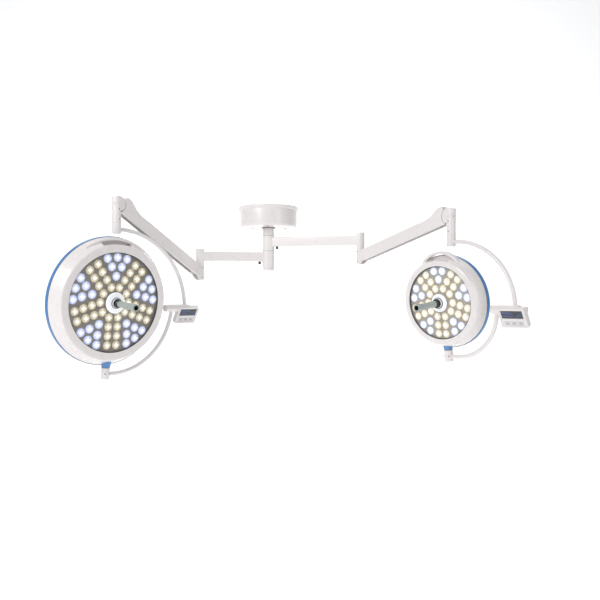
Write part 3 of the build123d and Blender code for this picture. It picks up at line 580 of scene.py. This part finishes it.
def dress_optics(lamp, local):
    """Replaces the plain lens solids, and adds the dark thermal sensor bead of each optic."""
    beads = Parts()
    for tone in ("cool", "warm"):
        node = f"{lamp}_{tone}_lenses"
        optics = Parts()
        for x, y in lens_centres(node, local):
            lens_solid(optics, x, y, OPTIC_WIDEN[lamp])
            beads.lathe([(0, 0), (2.0, 0), (2.0, 0.5), (1.3, 0.9), (0, 1.0)], 12,
                        shift(x + 6.5, y + 8.5, FLANGE_Z + 2.2), closed=False)
        # painted light: the satellite head takes the brighter copies of the same optics
        finish = f"{tone}_lens" if lamp == "main" else f"{tone}_lens_painted_bright"
        made = optics.build(f"{lamp}_{tone}_optics", f"{lamp}_head_body", finish, f"{tone}_lens",
                            local, lens_uv=optics.uvs)
        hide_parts(node)
    beads.build(f"{lamp}_optic_beads", f"{lamp}_head_body", "rubber", "grip_plastic", local)


def dress_head(lamp):
    local = face_frame(lamp)
    body = f"{lamp}_head_body"
    dress_optics(lamp, local)
    glass_r = local_bounds(f"{lamp}_front_glass", local)[1].x
    disc_r = glass_r - 5
    head_r = local_bounds(f"{lamp}_rim_ring", local)[1].x
    top = GLASS_TOP

    seal = Parts()
    seal.lathe([(disc_r - 0.2, top + 0.05), (disc_r - 0.2, top + 2.2), (disc_r - 1.4, top + 2.6),
                (disc_r - 3.4, top + 1.4), (disc_r - 4.0, top + 0.05)], 128)
    seal.build(f"{lamp}_glass_seal", body, "rubber", "grip_plastic", local)

    groove = Parts()
    front = local_bounds(f"{lamp}_rim_ring", local)[1].z
    groove.lathe([(head_r - 3.2, front + 0.05), (head_r - 2.0, front + 0.05),
                  (head_r - 2.0, front + 1.1), (head_r - 3.2, front + 1.1)], 128)
    groove.build(f"{lamp}_rim_seam", body, "rubber", "grip_plastic", local)

    back = Parts()
    screws = 8
    for k in range(screws):
        turn = 2 * math.pi * (k + 0.5) / screws
        r = head_r - 11
        screw_head(back, 4.5, toward(r * math.cos(turn), r * math.sin(turn), RIM_BACK, (0, 0, -1)))
    back.build(f"{lamp}_cover_screws", body, "steel", "steel", local)

    hub = Parts()
    hub.lathe([(0, DOME_Z - 3.2), (40, DOME_Z - 3.2), (44, DOME_Z - 2.6), (46, DOME_Z - 0.6),
               (46, DOME_Z + 2), (0, DOME_Z + 2)], 64, closed=False)
    for radius in (0.42, 0.62):
        r = radius * head_r
        z = DOME_Z + (RIM_BACK - DOME_Z) * radius ** 2 * 1.1
        hub.lathe([(r - 3, z + 1.5), (r - 2.4, z - 1.4), (r, z - 2.2), (r + 2.4, z - 1.2),
                   (r + 3, z + 1.5)], 96)
    hub.build(f"{lamp}_back_trim", body, "head_white", "head_white", local)

    # dark and white rings of the grip's socket, and painted shade in the grip's bore
    boss = f"{lamp}_centre_boss"
    ring_start = local_bounds(boss, local)[1].z - 16
    paint_part(boss, "dark_steel", local, lambda p, n: ring_start < p.z < ring_start + 5.2)
    paint_part(boss, "dark_steel", local, lambda p, n: p.z > ring_start + 10.2)
    grip = f"{lamp}_sterile_grip"
    tip = local_bounds(grip, local)[1].z
    # painted shade: faces inside the grip's open end take the near-black rubber finish in place of the shade in
    # the hollow
    paint_part(grip, "rubber", local, lambda p, n: p.z > tip - 62 and math.hypot(p.x, p.y) < 13.2)
    paint_part(grip, "dark_steel", local, lambda p, n: p.z < GRIP_Z + 19 and math.hypot(p.x, p.y) > 10.5)

    bands = Parts()
    for z in (GRIP_Z + 24, GRIP_Z + 29):
        bands.lathe([(16.8, z), (17.9, z + 0.5), (17.9, z + 2.0), (16.8, z + 2.5)], 48)
    bands.lathe([(17.8, tip - 12), (19.1, tip - 11.4), (19.1, tip - 4), (18.2, tip - 3.4)], 48)
    bands.build(f"{lamp}_grip_bands", f"{lamp}_grip_body", "grip_plastic", "grip_plastic", local)


# ---------------------------------------------------------------- yokes and panels
def dress_panel(lamp):
    local = panel_frame(lamp)
    body = f"{lamp}_upper_yoke_body"
    low, high = local_bounds(f"{lamp}_control_screen", local)
    half_w, half_h = high.x, high.y

    bezel = Parts()
    outer = ((half_w + 4, half_h + 3), (half_w, half_h - 0.5))
    for sign in (-1, 1):
        bezel.slab(2 * outer[0][0], 3.0, 0.02, 1.6, shift(0, sign * (half_h + 1.4)), 1.2, 0.5)
        bezel.slab(3.6, 2 * half_h + 2, 0.02, 1.6, shift(sign * (half_w + 2.0), 0), 1.2, 0.5)
    bezel.slab(2 * half_w + 8, 5.0, 0.02, 2.6, shift(0, -half_h - 5.6), 2.0, 0.8)
    bezel.build(f"{lamp}_screen_frame", body, "panel_white", "panel_white", local)

    lit = Parts()
    lit.slab(58, 12, 0.02, 0.35, shift(-24, 9), 2.0, 0.1)
    lit.slab(58, 9, 0.02, 0.35, shift(-24, -9), 2.0, 0.1)
    for k in range(6):
        lit.slab(3.6, 5 + 4.2 * k, 0.02, 0.35, shift(18 + 6.2 * k, -15 + (5 + 4.2 * k) / 2), 0.8, 0.1)
    lit.build(f"{lamp}_display_marks", body, "display_lit", "display_glass", local)

    plate = Parts()
    key_low, key_high = local_bounds(f"{lamp}_key_light", local)
    middle = (key_low.y + key_high.y) / 2
    for sign in (-1, 1):
        plate.slab(2 * half_w - 4, 2.4, 0.02, 0.7, shift(0, middle + sign * 9.6), 1.0, 0.2)
    plate.build(f"{lamp}_key_trim", body, "key_plastic", "key_plastic", local)

    for key in ("key_dim", "key_light", "key_bright"):
        low, high = local_bounds(f"{lamp}_{key}", local)
        x, y, z = (low.x + high.x) / 2, (low.y + high.y) / 2, high.z
        mark = Parts()
        if key == "key_light":
            mark.lathe([(2.4, -0.1), (3.2, -0.1), (3.2, 0.25), (2.4, 0.25)], 24, shift(x, y, z))
            for k in range(8):
                ray = shift(x, y, z, 45 * k) @ shift(4.9, 0)
                mark.slab(1.6, 0.5, -0.1, 0.25, ray, 0.2, 0.05, 2)
        else:
            mark.slab(8, 1.1, -0.1, 0.25, shift(x, y, z), 0.5, 0.08, 2)
        if key == "key_bright":
            mark.slab(1.1, 8, -0.1, 0.26, shift(x, y, z), 0.5, 0.08, 2)
        mark.build(f"{lamp}_{key}_mark", f"{lamp}_{key}_body", "print", "key_plastic", local)


def dress_yoke(lamp):
    local = tilt_frame(lamp)
    end = local_bounds(f"{lamp}_control_case", local)[1].z
    cap = Parts()
    radius = 15.5
    cap.lathe([(0, end + 0.02), (radius, end + 0.02), (radius, end + 1.0), (radius - 1.2, end + 2.0),
               (6, end + 2.6), (0, end + 2.7)], 40, closed=False)
    cap.build(f"{lamp}_housing_cap", f"{lamp}_upper_yoke_body", "panel_white", "panel_white", local)

    collar = collar_frame(lamp)
    socket = Parts()
    socket.lathe([(23.0, -3.2), (23.5, -2.8), (23.5, -1.0), (23.0, -0.6)], 48)
    for side in (-1, 1):
        screw_head(socket, 3.2, toward(side * 23.0 * math.sin(0.6), 23.0 * math.cos(0.6), -34,
                                       (side * math.sin(0.6), math.cos(0.6), 0)), 1.2)
    socket.build(f"{lamp}_socket_trim", f"{lamp}_lower_yoke_body", "dark_steel", "dark_steel", collar)


# ---------------------------------------------------------------- arms and ceiling mount
def dress_arms(lamp):
    ends = (("elbow_body", "arm_pitch"), ("drop_body", "drop_level"))
    for body, joint in ends:
        local = arm_frame(lamp, joint)
        caps = Parts()
        for side in (-1, 1):
            place = toward(0, side * ARM_HALF_W, 0, (0, side, 0))
            caps.lathe([(0, 0.02), (11.5, 0.02), (11.5, 1.2), (10.4, 2.2), (7.0, 2.4), (5.5, 1.6),
                        (0, 1.6)], 40, place, closed=False)
            caps.slab(7.0, 1.2, 1.5, 2.0, place, 0.4, 0.1, 2)
        caps.build(f"{lamp}_{body}_caps", f"{lamp}_{body}", "white_enamel", "white_enamel", local)

    swing = upright_frame(place_of(f"{lamp}_elbow_swing"))
    seam_ring = Parts()
    edge = (place_of(f"{lamp}_arm_pitch") - place_of(f"{lamp}_elbow_swing")).z / MM + PIVOT_BELOW_SEAM
    seam_ring.lathe([(24.6, edge - 3.0), (25.5, edge - 2.7), (25.5, edge - 1.1), (24.6, edge - 0.8)], 56)
    seam_ring.build(f"{lamp}_elbow_seam", f"{lamp}_elbow_body", "rubber", "bearing_plastic", swing)

    drop = basis(place_of(f"{lamp}_drop_level"), -axis_of(f"{lamp}_drop_level").cross(Vector((0, 0, 1))),
                 -axis_of(f"{lamp}_drop_level"), Vector((0, 0, 1)))
    seam = (place_of(f"{lamp}_yoke_swivel") - place_of(f"{lamp}_drop_level")).z / MM + 60
    screws = Parts()
    for side in (-1, 1):
        place = toward(0, side * 20.4, seam + 18.4, (0, side, 0))
        screw_head(screws, 3.2, place, 2.4)
    screws.build(f"{lamp}_drop_screws", f"{lamp}_drop_body", "dark_steel", "dark_steel", drop)


def dress_mount():
    local = upright_frame((0, 0, 0))
    low, high = local_bounds("canopy", local)
    trim = Parts()
    trim.lathe([(high.x - 5.6, -0.9), (high.x - 0.9, -4.2), (high.x + 0.2, -6.6), (high.x + 0.7, -10.5),
                (high.x + 0.2, -14.4), (high.x - 0.6, -15.6), (high.x - 2.0, -15.0), (high.x - 2.0, -6.0),
                (high.x - 6.5, -2.0)], 160)
    trim.build("canopy_roll", "ceiling_mount", "white_enamel", "white_enamel", local)
    gland = Parts()
    near = COLUMN_R + 0.1
    gland.lathe([(near, low.z - 0.02), (43.0, low.z - 0.02), (43.0, low.z - 1.6), (41.6, low.z - 2.8),
                 (near, low.z - 2.8)], 64)
    gland.build("column_gland", "ceiling_mount", "rubber", "bearing_plastic", local)


for lamp in LAMPS:
    dress_head(lamp)
    dress_panel(lamp)
    dress_yoke(lamp)
    dress_arms(lamp)
dress_mount()


# ---------------------------------------------------------------- stage, light and camera
def backdrop():
    """Pale floor that curves up into a wall behind the light."""
    floor_z, wall_y, bend = -2.75, 4.2, 1.6
    line = [(-9.0, floor_z)]
    line += [(wall_y - bend + bend * math.sin(a), floor_z + bend - bend * math.cos(a))
             for a in (math.radians(6 * k) for k in range(16))]
    line += [(wall_y, 6.0)]
    verts, faces = [], []
    for y, z in line:
        verts += [(-9.0, y, z), (9.0, y, z)]
    for k in range(len(line) - 1):
        faces.append([2 * k, 2 * k + 1, 2 * k + 3, 2 * k + 2])
    mesh = bpy.data.meshes.new("backdrop")
    mesh.from_pydata(verts, [], faces)
    mesh.polygons.foreach_set("use_smooth", [True] * len(mesh.polygons))
    paper = Shader("backdrop_paper", Roughness=0.9)
    paper.set("Base Color", paper.blend(paper.noise(3.0), (0.93, 0.93, 0.93), (0.95, 0.95, 0.95)))
    paper.bsdf.inputs["Emission Color"].default_value = (1, 1, 1, 1)
    paper.bsdf.inputs["Emission Strength"].default_value = PAPER_GLOW
    mesh.materials.append(paper.material)
    made = bpy.data.objects.new("backdrop", mesh)
    scene.collection.objects.link(made)


def soft_light(name, place, aim, size, power, tint=(1, 1, 1)):
    data = bpy.data.lights.new(name, "AREA")
    data.shape = "RECTANGLE"
    data.size, data.size_y = size
    data.energy = power
    data.color = tint
    made = bpy.data.objects.new(name, data)
    made.location = place
    made.rotation_euler = (Vector(aim) - Vector(place)).to_track_quat("-Z", "Y").to_euler()
    scene.collection.objects.link(made)


backdrop()
middle = (Vector(cad_box[0]) + Vector(cad_box[1])) / 2
soft_light("key_left", (-3.0, -4.2, 1.6), middle, (2.0, 2.4), KEY_POWER)
soft_light("fill_right", (3.4, -3.6, 0.4), middle, (1.2, 3.0), FILL_POWER)
soft_light("wall_wash", (0.0, 1.0, 2.4), (0.0, 4.0, -1.0), (5.0, 1.5), WALL_POWER)
soft_light("floor_wash", (0.0, 0.5, 2.4), (0.0, 1.5, -2.7), (5.0, 3.0), FLOOR_POWER)

world = bpy.data.worlds.new("studio")
world.use_nodes = True
world.node_tree.nodes["Background"].inputs["Color"].default_value = (0.95, 0.97, 1.0, 1)
world.node_tree.nodes["Background"].inputs["Strength"].default_value = WORLD_STRENGTH
scene.world = world
scene.view_settings.view_transform = "Standard"

camera_data = bpy.data.cameras.new("camera")
camera_data.lens = 41.1
camera = bpy.data.objects.new("camera", camera_data)
camera.location = (0.198, -4.3, -0.581)
camera.rotation_euler = (math.radians(90), 0, 0)
scene.collection.objects.link(camera)
scene.camera = camera
